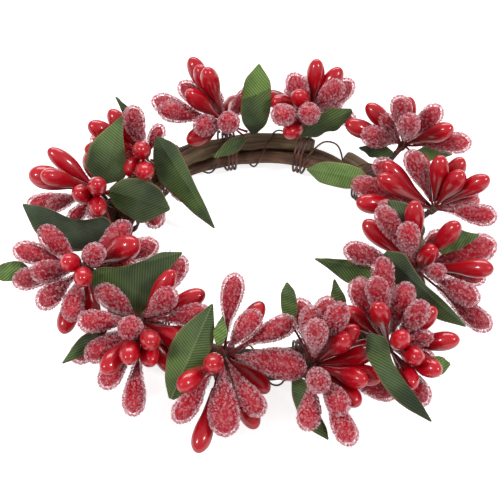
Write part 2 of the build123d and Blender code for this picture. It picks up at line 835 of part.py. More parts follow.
def build_picks():
    """Settles every berry and returns each pick's leaves, ends of stem wires and berries."""
    knots = {number: Clump([(pick_root(number), knot_width / 2)]) for number in pick_shares}
    leaves, stems, placed, wires = place_leaves(knots)
    berries = {}
    for number, rows in berry_shares.items():
        berries[number] = []
        for kind, right, up, toward in rows:
            found = settle(number, kind, (right, up, toward), placed, wires, knots)
            if found is None:
                print("no room for", number, kind, right, up, toward)
                continue
            base, axis, body, wire, cost, start = found
            if cost > far_share:
                print("moved far", number, kind, right, up, toward, round(cost, 2))
            placed.append(body)
            wires.append(wire)
            berries[number].append((kind, base, axis))
            stems[number].append((start, base))
    return leaves, stems, berries


def berries_of(rows, profile):
    """The solids of those of a pick's berries that have one profile."""
    return [berry_solid(base, axis, kind) for kind, base, axis in rows if KINDS[kind][2] is profile]


def write(name, solids):
    """Writes one node's solids to its STEP file."""
    shape = solids[0] if len(solids) == 1 else Compound(solids)
    shape.label = name
    export_step(shape, "parts/" + name + ".step")


os.makedirs("parts", exist_ok=True)
for strand in range(strand_count):
    write("vine_strand_" + str(strand + 1), [vine_strand(strand)])
leaves, stems, berries = build_picks()
for number in pick_shares:
    tag = "pick_" + str(number).zfill(2)
    write(tag + "_smooth_berries", berries_of(berries[number], smooth_shares))
    write(tag + "_sugared_berries", berries_of(berries[number], sugared_shares))
    write(tag + "_leaves", leaves[number])
    write(tag + "_stems", [collar_solid(number)] + [stem_solid(start, end) for start, end in stems[number]])
write("binding_wires", [tie_solid(number) for number in pick_shares])
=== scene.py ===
import bmesh
import bpy
import math
import numpy as np
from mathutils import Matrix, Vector


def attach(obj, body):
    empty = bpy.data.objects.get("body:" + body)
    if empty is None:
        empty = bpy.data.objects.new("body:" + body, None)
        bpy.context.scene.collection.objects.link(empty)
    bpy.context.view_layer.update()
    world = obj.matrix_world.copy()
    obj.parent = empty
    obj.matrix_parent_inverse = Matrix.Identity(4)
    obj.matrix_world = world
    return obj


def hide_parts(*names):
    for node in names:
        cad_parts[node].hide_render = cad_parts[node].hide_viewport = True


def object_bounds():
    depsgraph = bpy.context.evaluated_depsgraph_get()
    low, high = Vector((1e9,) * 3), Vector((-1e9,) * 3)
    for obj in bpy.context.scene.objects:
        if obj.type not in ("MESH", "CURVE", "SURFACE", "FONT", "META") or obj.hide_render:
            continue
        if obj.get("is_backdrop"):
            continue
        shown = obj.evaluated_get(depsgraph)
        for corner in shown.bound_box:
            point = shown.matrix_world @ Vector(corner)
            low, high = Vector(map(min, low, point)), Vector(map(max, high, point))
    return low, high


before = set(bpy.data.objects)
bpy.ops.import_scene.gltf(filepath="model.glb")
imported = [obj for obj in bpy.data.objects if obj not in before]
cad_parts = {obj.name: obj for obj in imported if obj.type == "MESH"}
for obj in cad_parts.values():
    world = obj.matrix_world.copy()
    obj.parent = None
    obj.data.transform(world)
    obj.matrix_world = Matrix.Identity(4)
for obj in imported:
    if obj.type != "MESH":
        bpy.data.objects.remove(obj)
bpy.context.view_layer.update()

# Candle ring: berries with lacquer or clear micro beads, ribbed ribbon leaves, paper-wrapped stems, a bark vine and
# its binding wire. Metres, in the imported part's frame.

MM = 0.001
FULL_TURN = 2 * math.pi
ANY_PHASE = (0, 6.28)


# Materials

def linear(red, green, blue):
    """A colour written as 0 to 255 screen values."""
    out = []
    for value in (red, green, blue):
        value = value / 255
        out.append(value / 12.92 if value <= 0.04045 else ((value + 0.055) / 1.055) ** 2.4)
    return (*out, 1.0)


class Finish:
    """A node material round one Principled shader. Noise scales are lumps per metre."""

    def __init__(self, name, **sockets):
        self.material = bpy.data.materials.new(name)
        self.material.use_nodes = True
        self.tree = self.material.node_tree
        self.shader = self.tree.nodes["Principled BSDF"]
        self.output = self.tree.nodes["Material Output"]
        for key, value in sockets.items():
            self.shader.inputs[key.replace("_", " ")].default_value = value

    def node(self, kind, **values):
        """A new node, its properties and sockets set by name."""
        made = self.tree.nodes.new("ShaderNode" + kind)
        for key, value in values.items():
            if hasattr(made, key):
                setattr(made, key, value)
            else:
                made.inputs[key.replace("_", " ")].default_value = value
        return made

    def link(self, out, into):
        self.tree.links.new(out, into)

    def value(self, name):
        """A number given at each point of the mesh."""
        return self.node("Attribute", attribute_name=name).outputs["Fac"]

    def vector(self, name):
        """Three numbers given at each point of the mesh."""
        return self.node("Attribute", attribute_name=name).outputs["Vector"]

    def noise(self, scale, detail, vector=None, roughness=0.5):
        made = self.node("TexNoise", Scale=scale, Detail=detail, Roughness=roughness)
        if vector is None:
            vector = self.node("NewGeometry").outputs["Position"]
        self.link(vector, made.inputs["Vector"])
        return made.outputs["Fac"]

    def ramp(self, factor, *stops):
        """A colour ramp through pairs of a place and a colour."""
        made = self.node("ValToRGB")
        band = made.color_ramp
        while len(band.elements) < len(stops):
            band.elements.new(0.5)
        for element, (place, colour) in zip(band.elements, stops):
            element.position = place
            element.color = colour
        self.link(factor, made.inputs["Fac"])
        return made.outputs["Color"]

    def grey(self, factor, low, high, start=0.0, end=1.0):
        """A number taken from the range start to end into the range low to high."""
        made = self.node("MapRange")
        for key, value in (("From Min", start), ("From Max", end), ("To Min", low), ("To Max", high)):
            made.inputs[key].default_value = value
        self.link(factor, made.inputs["Value"])
        return made.outputs["Result"]

    def mix(self, factor, first, second):
        """Two colours mixed. Their sockets on this node are 6 and 7, and the result is output 2."""
        made = self.node("Mix", data_type="RGBA")
        self.link(factor, made.inputs["Factor"])
        for place, value in ((6, first), (7, second)):
            if isinstance(value, tuple):
                made.inputs[place].default_value = value
            else:
                self.link(value, made.inputs[place])
        return made.outputs[2]

    def maths(self, operation, *values):
        made = self.node("Math", operation=operation)
        for place, value in enumerate(values):
            if isinstance(value, (int, float)):
                made.inputs[place].default_value = value
            else:
                self.link(value, made.inputs[place])
        return made.outputs[0]

    def blend(self, share, first, second):
        """Two shaders mixed into the surface."""
        made = self.node("MixShader")
        if isinstance(share, float):
            made.inputs[0].default_value = share
        else:
            self.link(share, made.inputs[0])
        self.link(first, made.inputs[1])
        self.link(second, made.inputs[2])
        self.link(made.outputs[0], self.output.inputs["Surface"])

    def bump(self, height, distance, strength):
        made = self.node("Bump", Strength=strength, Distance=distance)
        self.link(height, made.inputs["Height"])
        self.link(made.outputs["Normal"], self.shader.inputs["Normal"])
        return made


def lacquer():
    """Glossy red lacquer over a moulded pip, with painted shade darkening it toward the stem."""
    f = Finish("berry_lacquer", Roughness=0.34, Specular_IOR_Level=0.3, Coat_Weight=0.9, Coat_Roughness=0.07,
               Coat_IOR=1.48)
    along = f.value("along")
    tone = f.value("tone")
    # Painted shade: the red darkens toward the stem end, where the pips crowd round the knot.
    body = f.ramp(along, (0.0, linear(104, 4, 14)), (0.4, linear(158, 2, 20)), (1.0, linear(194, 4, 30)))
    deep = f.mix(f.grey(tone, 0.0, 0.4), body, linear(148, 1, 16))
    cloud = f.grey(f.noise(260, 3), 0.0, 0.25)
    f.link(f.mix(cloud, deep, linear(206, 14, 38)), f.shader.inputs["Base Color"])
    f.bump(f.noise(420, 2), 0.12 * MM, 0.3)
    return f.material


def sugared_core():
    """The red pip under the clear beads."""
    f = Finish("berry_core", Roughness=0.45)
    tone = f.value("tone")
    base = f.mix(tone, linear(204, 8, 44), linear(168, 6, 34))
    patch = f.grey(f.noise(1300, 4), 0.0, 0.55, 0.3, 0.7)
    f.link(f.mix(patch, base, linear(128, 2, 24)), f.shader.inputs["Base Color"])
    f.bump(f.noise(1500, 2), 0.2 * MM, 0.6)
    return f.material


# How much the glaze covers, of one bead and of the whole coat: in the middle, at the rim, and from where to where.
BEAD_GLAZE, COAT_GLAZE = (0.08, 0.9, 0.2, 0.78), (0.42, 1.0, 0.1, 0.55)


def clear_beads():
    """Clear glass micro beads: a pale sparkling rim, the middle showing the red beneath."""
    f = Finish("micro_beads", Roughness=0.12, IOR=1.45, Specular_IOR_Level=0.7)
    tone = f.value("tone")
    pale = f.ramp(tone, (0.0, linear(186, 30, 56)), (0.3, linear(220, 88, 112)), (0.56, linear(244, 188, 200)),
                  (0.8, linear(255, 252, 252)))
    f.link(pale, f.shader.inputs["Base Color"])
    clear = f.node("BsdfTransparent", Color=(1.0, 0.93, 0.94, 1))
    bead_rim = f.node("LayerWeight", Blend=0.5).outputs["Facing"]
    coat = f.node("LayerWeight", Blend=0.5)
    f.link(f.vector("radial"), coat.inputs["Normal"])
    coat_rim = coat.outputs["Facing"]
    glaze = f.maths("MULTIPLY", f.grey(bead_rim, *BEAD_GLAZE), f.grey(coat_rim, *COAT_GLAZE))
    f.blend(glaze, clear.outputs[0], f.shader.outputs[0])
    return f.material


RIB_PITCH, RIB_DRIFT, RIB_HEIGHT = 0.8 * MM, 1.4 * MM, 0.12 * MM
THREAD_PITCH, THREAD_SHARE, LIGHT_THROUGH = 0.24 * MM, 0.18, 0.25


def ribbon():
    """Ribbed green ribbon: fine raised ribs with painted shade in the grooves between them, soft patches of painted
    shade and painted sheen, lighter where light comes through.
    """
    f = Finish("leaf_ribbon", Roughness=0.62, Specular_IOR_Level=0.3, Sheen_Weight=0.2, Sheen_Roughness=0.4)
    flat = f.vector("flat")
    split = f.node("SeparateXYZ")
    f.link(flat, split.inputs[0])
    tone = f.value("tone")
    drift = f.maths("MULTIPLY", f.noise(60, 2, flat), RIB_DRIFT)
    rib_place = f.maths("ADD", split.outputs["X"], drift)
    ribs = f.maths("SINE", f.maths("MULTIPLY", rib_place, FULL_TURN / RIB_PITCH))
    threads = f.maths("SINE", f.maths("MULTIPLY", split.outputs["Y"], FULL_TURN / THREAD_PITCH))
    ridge = f.grey(ribs, 0.0, 1.0, -1.0, 1.0)
    # Painted shade: the grooves between the ribs take the darker colour and the crests the lighter one.
    shade = f.grey(ribs, 0.0, 1.0, -0.5, 0.7)
    dark = f.mix(tone, linear(34, 40, 30), linear(94, 122, 58))
    light = f.mix(tone, linear(56, 68, 46), linear(144, 178, 96))
    cloth = f.mix(shade, dark, light)
    # Painted shade: soft, large patches of darker green laid by noise.
    cloth = f.mix(f.grey(f.noise(110, 4, flat), 0.0, 0.75, 0.45, 0.75), cloth, linear(34, 46, 38))
    # Painted sheen: soft patches of pale grey-green laid by noise.
    cloth = f.mix(f.grey(f.noise(75, 3, flat), 0.32, 0.0, 0.3, 0.55), cloth, linear(112, 130, 100))
    cloth = f.mix(f.grey(f.value("vein"), 0.0, 0.8), cloth, linear(150, 168, 122))
    worn = f.value("edge")
    cloth = f.mix(f.grey(worn, 0.0, 0.85), cloth, linear(172, 142, 104))
    f.link(cloth, f.shader.inputs["Base Color"])
    height = f.maths("ADD", ridge, f.maths("MULTIPLY", threads, THREAD_SHARE))
    bump = f.bump(height, RIB_HEIGHT, 0.6)
    through = f.node("BsdfTranslucent")
    f.link(f.mix(f.grey(tone, 0.15, 0.6), cloth, linear(140, 200, 70)), through.inputs["Color"])
    f.link(bump.outputs["Normal"], through.inputs["Normal"])
    f.blend(LIGHT_THROUGH, f.shader.outputs[0], through.outputs[0])
    return f.material


def paper_wire():
    """Paper wound round the stem wire, stained red toward the berry. Toward the knot most stems are dark red-brown,
    partly red lacquer and partly painted shade; a few are pale.
    """
    f = Finish("stem_paper", Roughness=0.75)
    along = f.value("along")
    tone = f.value("tone")
    # Mostly dark red-brown, which near the knot is partly red lacquer and partly painted shade; a few stems pale.
    paper_and_knot_shade = f.ramp(tone, (0.0, linear(214, 206, 200)), (0.16, linear(176, 150, 146)), (0.24, linear(110, 26, 34)),
                   (1.0, linear(78, 10, 18)))
    red = f.ramp(along, (0.0, (0.1, 0.1, 0.1, 1)), (0.3, (0.7, 0.7, 0.7, 1)), (0.5, (1, 1, 1, 1)))
    colour = f.mix(red, paper_and_knot_shade, linear(138, 8, 26))
    colour = f.mix(f.grey(f.noise(1400, 4), 0.0, 0.5), colour, linear(80, 30, 30))
    f.link(colour, f.shader.inputs["Base Color"])
    winding = f.maths("SINE", f.maths("MULTIPLY", f.value("turns"), FULL_TURN))
    f.bump(f.maths("ADD", winding, f.noise(2600, 2)), 0.08 * MM, 0.6)
    return f.material


BARK_GRAIN = (70, 1500, 900)


def bark():
    """Dry vine bark: brown with long grooves, tan along some ridges."""
    f = Finish("vine_bark", Roughness=0.6, Specular_IOR_Level=0.35)
    flat = f.vector("flat")
    tone = f.value("tone")
    grain = f.node("Mapping", Scale=BARK_GRAIN)
    f.link(flat, grain.inputs["Vector"])
    streak = f.noise(1.0, 5, grain.outputs[0], 0.62)
    brown = f.ramp(streak, (0.25, linear(66, 56, 40)), (0.5, linear(104, 90, 64)), (0.75, linear(150, 130, 94)))
    red = f.ramp(streak, (0.25, linear(60, 36, 28)), (0.5, linear(98, 66, 50)), (0.75, linear(140, 104, 80)))
    colour = f.mix(tone, brown, red)
    ridge = f.value("ridge")
    colour = f.mix(f.grey(ridge, 0.0, 0.8), colour, linear(150, 124, 84))
    colour = f.mix(f.grey(f.noise(240, 4), 0.0, 0.5, 0.45, 0.8), colour, linear(52, 50, 34))
    f.link(colour, f.shader.inputs["Base Color"])
    f.link(f.grey(streak, 0.75, 0.45), f.shader.inputs["Roughness"])
    f.bump(streak, 0.4 * MM, 0.35)
    return f.material


def dark_wire():
    """Thin brown lacquered binding wire."""
    f = Finish("binding_wire_paint", Roughness=0.45, Coat_Weight=0.1, Coat_Roughness=0.3)
    colour = f.mix(f.grey(f.noise(300, 4), 0.0, 1.0, 0.35, 0.65), linear(50, 24, 22), linear(118, 66, 56))
    f.link(colour, f.shader.inputs["Base Color"])
    f.bump(f.noise(1800, 3), 0.06 * MM, 0.5)
    return f.material


TAPE_LAPS = 700


def collar_tape():
    """Stretchy brown tape round the collars, its laps as low steps, so many to the metre."""
    f = Finish("collar_tape", Roughness=0.7)
    flat = f.vector("flat")
    split = f.node("SeparateXYZ")
    f.link(flat, split.inputs[0])
    lap = f.maths("FRACT", f.maths("MULTIPLY", split.outputs["X"], TAPE_LAPS))
    colour = f.mix(lap, linear(58, 40, 32), linear(104, 78, 60))
    colour = f.mix(f.grey(f.noise(1500, 3), 0.0, 0.5), colour, linear(40, 30, 24))
    f.link(colour, f.shader.inputs["Base Color"])
    f.bump(lap, 0.1 * MM, 0.8)
    return f.material


LACQUER = lacquer()
CORE = sugared_core()
BEADS = clear_beads()
RIBBON = ribbon()
PAPER = paper_wire()
BARK = bark()
WIRE = dark_wire()
TAPE = collar_tape()


# Mesh helpers

class Build:
    """Vertices, faces and per-vertex values gathered into one object."""

    def __init__(self):
        self.verts, self.faces, self.values, self.count = [], [], {}, 0

    def add(self, verts, faces, **values):
        """Points with their faces, and values for the material, one for all points or one each."""
        verts = np.asarray(verts, float)
        self.verts.append(verts)
        self.faces.append(np.asarray(faces, int) + self.count)
        for key, value in values.items():
            value = np.asarray(value, float)
            if value.ndim == 0:
                value = np.full(len(verts), float(value))
            self.values.setdefault(key, []).append(value)
        self.count += len(verts)

    def close(self, faces, verts):
        """More faces over the points that were added last."""
        self.faces.append(np.asarray(faces, int) + self.count - len(verts))

    def object(self, name, material, slot):
        """The gathered mesh as a piece of the scene that rides on the root body."""
        verts = np.concatenate(self.verts)
        polys = [face for group in self.faces for face in group]
        mesh = bpy.data.meshes.new(name)
        mesh.vertices.add(len(verts))
        mesh.vertices.foreach_set("co", verts.astype(np.float32).ravel())
        sizes = np.concatenate([np.full(len(group), group.shape[1]) for group in self.faces])
        loops = np.concatenate([group.ravel() for group in self.faces])
        starts = np.concatenate([[0], np.cumsum(sizes)[:-1]])
        mesh.loops.add(len(loops))
        mesh.loops.foreach_set("vertex_index", loops.astype(np.int32))
        mesh.polygons.add(len(polys))
        mesh.polygons.foreach_set("loop_start", starts.astype(np.int32))
        mesh.update(calc_edges=True)
        mesh.validate()
        mesh.polygons.foreach_set("use_smooth", np.full(len(mesh.polygons), True))
        for key, parts in self.values.items():
            value = np.concatenate(parts)
            if value.ndim == 2:
                made = mesh.attributes.new(key, "FLOAT_VECTOR", "POINT")
                made.data.foreach_set("vector", value.astype(np.float32).ravel())
            else:
                made = mesh.attributes.new(key, "FLOAT", "POINT")
                made.data.foreach_set("value", value.astype(np.float32))
        mesh.materials.append(material)
        made = bpy.data.objects.new(name, mesh)
        bpy.context.scene.collection.objects.link(made)
        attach(made, "root")
        return made


def grid_faces(rows, columns, closed):
    """Quads of a grid of points, closed round its columns or open."""
    faces = []
    for row in range(rows - 1):
        for column in range(columns if closed else columns - 1):
            after = (column + 1) % columns
            faces.append((row * columns + column, row * columns + after,
                          (row + 1) * columns + after, (row + 1) * columns + column))
    return np.array(faces)


ASKEW, ASKEW_LEVEL, UPRIGHT = (0.31, 0.52, 0.79), (1.0, 0.2, 0.0), 0.9


def across(axis):
    """Two directions square to an axis."""
    axis = axis / np.linalg.norm(axis)
    side = np.cross(axis, ASKEW if abs(axis[2]) < UPRIGHT else ASKEW_LEVEL)
    side /= np.linalg.norm(side)
    return side, np.cross(axis, side)


WELD = 2e-6


def solids(node):
    """The corner points of each separate solid of a CAD node."""
    work = bmesh.new()
    work.from_mesh(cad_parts[node].data)
    bmesh.ops.remove_doubles(work, verts=work.verts, dist=WELD)
    seen, out = set(), []
    for vert in work.verts:
        if vert in seen:
            continue
        seen.add(vert)
        group, stack = [], [vert]
        while stack:
            one = stack.pop()
            group.append(tuple(one.co))
            for edge in one.link_edges:
                other = edge.other_vert(one)
                if other not in seen:
                    seen.add(other)
                    stack.append(other)
        out.append(np.array(sorted(group)))
    work.free()
    return sorted(out, key=lambda points: tuple(points.mean(0)))


def long_axis(points):
    """The line that a slim solid lies along."""
    spread = points - points.mean(0)
    return np.linalg.eigh(spread.T @ spread)[1][:, -1]


END_POINTS = 7


def ends_of(points):
    """The outermost corner points at the two ends of a slim solid."""
    order = np.argsort((points - points.mean(0)) @ long_axis(points))
    return points[order[:END_POINTS]], points[order[-END_POINTS:]]


def berry_of(points):
    """A berry's base, its direction, its length and its width, from its CAD solid. The base is the slimmer end."""
    ends = ends_of(points)
    sizes = [np.linalg.norm(end - end.mean(0), axis=1).mean() for end in ends]
    base, tip = (end.mean(0) for end in (ends if sizes[0] < sizes[1] else ends[::-1]))
    length = np.linalg.norm(tip - base)
    axis = (tip - base) / length
    off = points - base
    radius = np.linalg.norm(off - np.outer(off @ axis, axis), axis=1).max()
    return base, axis, length, 2 * radius


def tube(path, radii, sides):
    """Points, side faces and end faces of a round tube along a path of points."""
    path = np.asarray(path, float)
    heading = np.gradient(path, axis=0)
    heading /= np.linalg.norm(heading, axis=1)[:, None]
    side, _ = across(heading[0])
    rings = []
    for point, ahead, radius in zip(path, heading, np.broadcast_to(radii, len(path))):
        side = side - ahead * (side @ ahead)
        side /= np.linalg.norm(side)
        other = np.cross(ahead, side)
        angles = np.linspace(0, FULL_TURN, sides, endpoint=False)
        rings.append(point + radius * (np.outer(np.cos(angles), side) + np.outer(np.sin(angles), other)))
    verts = np.concatenate(rings)
    faces = grid_faces(len(path), sides, True)
    verts = np.concatenate([verts, path[:1], path[-1:]])
    top = len(verts) - 1
    start = (len(path) - 1) * sides
    caps = [(top - 1, (k + 1) % sides, k) for k in range(sides)]
    caps += [(top, start + k, start + (k + 1) % sides) for k in range(sides)]
    return verts, faces, np.array(caps)


# Picks: where they stand

RING, ROOT_HEIGHT, SPAN = 50.0 * MM, 16.0 * MM, 32.5 * MM
# Of each pick: its degrees round the ring and how far its knot stands out from the ring, as a share of RING.
PICK_SHARES = {
    1: (102, 0.08), 2: (72, 0.2), 3: (40, 0.31), 4: (11, 0.2), 5: (343, 0.08), 6: (310, 0.29),
    7: (287, 0.19), 8: (258, 0.08), 9: (226, 0.08), 10: (195, 0.18), 11: (160, 0.145), 12: (137, 0.07),
}
# The photo's right, up and toward the eye, which stands 47 degrees above the table.
RISE = math.radians(47)
SIGHT = np.array([(1, 0, 0), (0, math.sin(RISE), math.cos(RISE)), (0, -math.cos(RISE), math.sin(RISE))])


def polar(radius, degrees, height):
    """A point given by its distance and degrees round the middle of the ring."""
    angle = math.radians(degrees)
    return np.array((radius * math.cos(angle), radius * math.sin(angle), height))


def pick_root(number):
    """Where the wires of a pick come together, in its knot."""
    degrees, out = PICK_SHARES[number]
    return polar(RING * (1 + out), degrees, ROOT_HEIGHT)


# Berries

BELLY = 0.6
NECK_SHARE, NECK_TRIM, NECK_LEAST, NECK_MOST = 0.75, 1.2 * MM, 0.8 * MM, 9 * MM
FOOT_SHARE, FOOT_LEAST, FOOT_MOST = 0.88, 0.25, 0.62
LOW_SHARE, LOW_LEAST, LOW_MOST = 0.8, 0.13, 0.26


def smooth_profile(t, foot):
    """Half width share of a lacquered pip along its length."""
    rise = foot + (1 - foot) * np.sin(np.clip(t / BELLY, 0, 1) * math.pi / 2) ** 1.15
    cap = np.sqrt(np.clip(1 - ((t - BELLY) / (1 - BELLY)) ** 2, 0, 1))
    return np.where(t < BELLY, rise, cap)


def sugared_profile(t, foot):
    """Half width share of a sugared pip, fuller along its middle."""
    belly, shoulder, cap_length = 0.62, 0.68, 0.32
    rise = foot + (1 - foot) * np.sin(np.clip(t / belly, 0, 1) * math.pi / 2) ** 1.05
    cap = np.sqrt(np.clip(1 - ((t - shoulder) / cap_length) ** 2, 0, 1))
    return np.where(t < belly, rise, np.where(t < shoulder, 1.0, cap))


def necked(points, root, profile):
    """A CAD berry with a neck that runs on toward its knot: its start, direction, length, width and profile.

    The neck goes part of the way, and is no fuller than the fan of pips has room for."""
    base, axis, length, width = berry_of(points)
    reach = np.linalg.norm(base - root)
    neck = float(np.clip(NECK_SHARE * reach - NECK_TRIM, NECK_LEAST, NECK_MOST))
    bare = neck / (neck + length)
    belly = reach + BELLY * length
    foot = float(np.clip(FOOT_SHARE * reach / belly, FOOT_LEAST, FOOT_MOST))
    low = float(np.clip(LOW_SHARE * (reach - neck) / belly, LOW_LEAST, LOW_MOST))

    def shape(t):
        on = (t - bare) / (1 - bare)
        return np.where(t < bare, low + (foot - low) * np.clip(t / bare, 0, 1), profile(np.clip(on, 0, 1), foot))

    return base - axis * neck, axis, length + neck, width, shape


PIP_BEND, PIP_WOBBLE, PIP_LEAST = 0.05, 0.04, 0.3 * MM


def pip(build, base, axis, length, width, profile, shrink, sides, rows, seed):
    """One pip, a little bent and uneven, with values for its material."""
    local = np.random.default_rng(seed)
    side, other = across(axis)
    steps = np.sin(np.linspace(0, math.pi / 2, rows))
    bend = local.uniform(-PIP_BEND, PIP_BEND, 2) * width
    wobble, phase = local.uniform(0.0, PIP_WOBBLE), local.uniform(*ANY_PHASE)
    angles = np.linspace(0, FULL_TURN, sides, endpoint=False)
    verts = []
    for t in steps[:-1]:
        radius = max(float(profile(t)) * width / 2 - shrink, PIP_LEAST)
        centre = base + axis * (length * t * (1 - shrink / length))
        centre = centre + (side * bend[0] + other * bend[1]) * math.sin(math.pi * t)
        reach = radius * (1 + wobble * np.cos(2 * angles + phase))
        verts.append(centre + np.outer(np.cos(angles) * reach, side) + np.outer(np.sin(angles) * reach, other))
    tip = base + axis * (length - shrink)
    verts = np.concatenate(verts + [tip[None, :]])
    top = len(verts) - 1
    start = (rows - 2) * sides
    along = np.append(np.repeat(steps[:-1], sides), 1.0)
    tone = local.uniform(0, 1)
    build.add(verts, grid_faces(rows - 1, sides, True), along=along, tone=tone)
    build.close([(start + k, start + (k + 1) % sides, top) for k in range(sides)], verts)
    build.close([list(range(sides))[::-1]], verts)
    return bend


def bead_shape():
    """The points and triangles of one bead of unit radius."""
    work = bmesh.new()
    bmesh.ops.create_icosphere(work, subdivisions=1, radius=1.0)
    verts = np.array([tuple(v.co) for v in work.verts])
    work.verts.index_update()
    faces = np.array([[v.index for v in f.verts] for f in work.faces])
    work.free()
    return verts, faces


BEAD_POINTS, BEAD_FACES = bead_shape()
BEAD_SIZE, BEAD_SPREAD = 0.67 * MM, (0.7, 1.1)
BEAD_PACKING, BEAD_SCATTER = 0.8, 0.45
COAT_DEPTH, COAT_LEAST, COAT_SHARE = 1.1 * MM, 0.35 * MM, 0.97
COAT_STATIONS, COAT_TIP = 240, 12
GOLDEN_ANGLE, ANGLE_SCATTER = 2.399963, 0.12


def coat(build, base, axis, length, width, profile, bend, seed):
    """Clear beads all over a sugared pip, packed by a spiral that follows its area."""
    local = np.random.default_rng(seed)
    side, other = across(axis)
    t = np.linspace(0.04, 0.999, COAT_STATIONS)
    step = np.gradient(t) * length
    bare = profile(t) * width / 2 - BEAD_SIZE / 2
    radius = np.clip(bare, COAT_LEAST, None)
    radius[-COAT_TIP:] = np.minimum(radius[-COAT_TIP:], bare[-COAT_TIP:].clip(0))
    area = np.cumsum(FULL_TURN * radius * np.hypot(np.gradient(radius), step))
    count = int(COAT_SHARE * area[-1] / (BEAD_SIZE ** 2 * BEAD_PACKING))
    places = np.interp((np.arange(count) + local.uniform(0, 1, count)) / count * area[-1], area, t)
    angles = np.arange(count) * GOLDEN_ANGLE + local.normal(0, ANGLE_SCATTER, count)
    reach = np.interp(places, t, radius) + (0.12 - np.abs(local.normal(0, BEAD_SCATTER, count))) * BEAD_SIZE
    reach = np.clip(reach, 0, width / 2 - BEAD_SIZE * 0.4)
    centre = base + np.outer(places * length * (1 - 0.4 * BEAD_SIZE / length), axis)
    centre += np.outer(np.sin(math.pi * places), side * bend[0] + other * bend[1])
    centre += np.outer(np.cos(angles) * reach, side) + np.outer(np.sin(angles) * reach, other)
    size = BEAD_SIZE / 2 * local.uniform(*BEAD_SPREAD, count)
    verts = centre[:, None, :] + BEAD_POINTS[None] * size[:, None, None]
    faces = BEAD_FACES[None] + (np.arange(count) * len(BEAD_POINTS))[:, None, None]
    tone = np.repeat(local.uniform(0, 1, count), len(BEAD_POINTS))
    radial = np.outer(np.cos(angles), side) + np.outer(np.sin(angles), other)
    rake = np.interp(places, t, np.gradient(radius) / step)
    radial = radial - np.outer(rake, axis)
    radial /= np.linalg.norm(radial, axis=1)[:, None]
    radial = np.repeat(radial, len(BEAD_POINTS), axis=0)
    build.add(verts.reshape(-1, 3), faces.reshape(-1, 3), tone=tone, radial=radial)


SMOOTH_GRID, CORE_GRID = (22, 24), (18, 20)
PICKS = range(1, 13)
for number in PICKS:
    tag = "pick_%02d" % number
    root = pick_root(number)
    lacquered, cores, beads = Build(), Build(), Build()
    for index, points in enumerate(solids(tag + "_smooth_berries")):
        pip(lacquered, *necked(points, root, smooth_profile), 0.0, *SMOOTH_GRID, number * 100 + index)
    for index, points in enumerate(solids(tag + "_sugared_berries")):
        form = necked(points, root, sugared_profile)
        seed = number * 100 + 50 + index
        bend = pip(cores, *form, COAT_DEPTH, *CORE_GRID, seed)
        coat(beads, *form, bend, seed)
    made = lacquered.object(tag + "_lacquered_pips", LACQUER, "smooth_berry")
    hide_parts(tag + "_smooth_berries")
    made = cores.object(tag + "_sugared_cores", CORE, "sugared_berry")
    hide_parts(tag + "_sugared_berries")
    beads.object(tag + "_micro_beads", BEADS, "sugared_berry")


# Stems

# A solid among the stems with more corner points than this is the collar.
WIRE_POINTS = 10
STEM_STATIONS, STEM_SIDES, STEM_END_POINTS = 12, 8, 3
STEM_PLACES, STEM_RADII = (0, 0.85, 1), (0.42 * MM, 0.36 * MM, 0.5 * MM)
STEM_BOW, PAPER_PITCH = 0.5 * MM, 0.9 * MM
COLLAR_STATIONS, COLLAR_SIDES = 26, 14
COLLAR_RADIUS, KNOT_SWELL, KNOT_LENGTH, KNOT_STEEPNESS = 0.92 * MM, 0.495 * MM, 3.42 * MM, 60
RIPPLE, RIPPLES, ROUND_FROM = 0.06 * MM, 60, 0.93


def taped_collar(build, points, root):
    """The collar of a pick along its CAD solid, fuller toward the knot and rounded at that end."""
    foot, head = (end.mean(0) for end in ends_of(points))
    if np.linalg.norm(foot - root) < np.linalg.norm(head - root):
        foot, head = head, foot
    run = head - foot
    length = np.linalg.norm(run)
    t = np.linspace(0, 1, COLLAR_STATIONS)
    swell = KNOT_SWELL / (1 + np.exp(-KNOT_STEEPNESS * (t - 1 + KNOT_LENGTH / length)))
    radii = COLLAR_RADIUS + swell + RIPPLE * np.sin(RIPPLES * t)
    dome = np.sqrt(np.clip(1.05 - ((t - ROUND_FROM) / (1 - ROUND_FROM)) ** 2, 0.1, 1))
    verts, faces, caps = tube(foot + np.outer(t, run), np.where(t > ROUND_FROM, radii * dome, radii), COLLAR_SIDES)
    flat = np.zeros((len(verts), 3))
    flat[:, 0] = (verts - foot) @ (run / length)
    flat[:, 0] += np.resize(np.arange(COLLAR_SIDES) / COLLAR_SIDES, len(verts)) / TAPE_LAPS
    build.add(verts, faces, flat=flat)
    build.close(caps, verts)


def wrapped_stem(build, points, root, local):
    """One stem wire from the knot to the far end of its CAD solid, a little bowed, with its paper's winding."""
    order = np.argsort(points @ long_axis(points))
    ends = points[order[:STEM_END_POINTS]].mean(0), points[order[-STEM_END_POINTS:]].mean(0)
    run = max(ends, key=lambda end: np.linalg.norm(end - root)) - root
    t = np.linspace(0, 1, STEM_STATIONS)
    side, other = across(run)
    bow = local.uniform(-STEM_BOW, STEM_BOW, 2)
    path = root + np.outer(t, run) + np.outer(np.sin(t * math.pi), side * bow[0] + other * bow[1])
    verts, faces, caps = tube(path, np.interp(t, STEM_PLACES, STEM_RADII), STEM_SIDES)
    along = np.append(np.repeat(t, STEM_SIDES), (0, 1))
    turns = along * np.linalg.norm(run) / PAPER_PITCH
    turns[:-2] += np.tile(np.arange(STEM_SIDES) / STEM_SIDES, STEM_STATIONS)
    build.add(verts, faces, along=along, turns=turns, tone=local.uniform(0, 1))
    build.close(caps, verts)


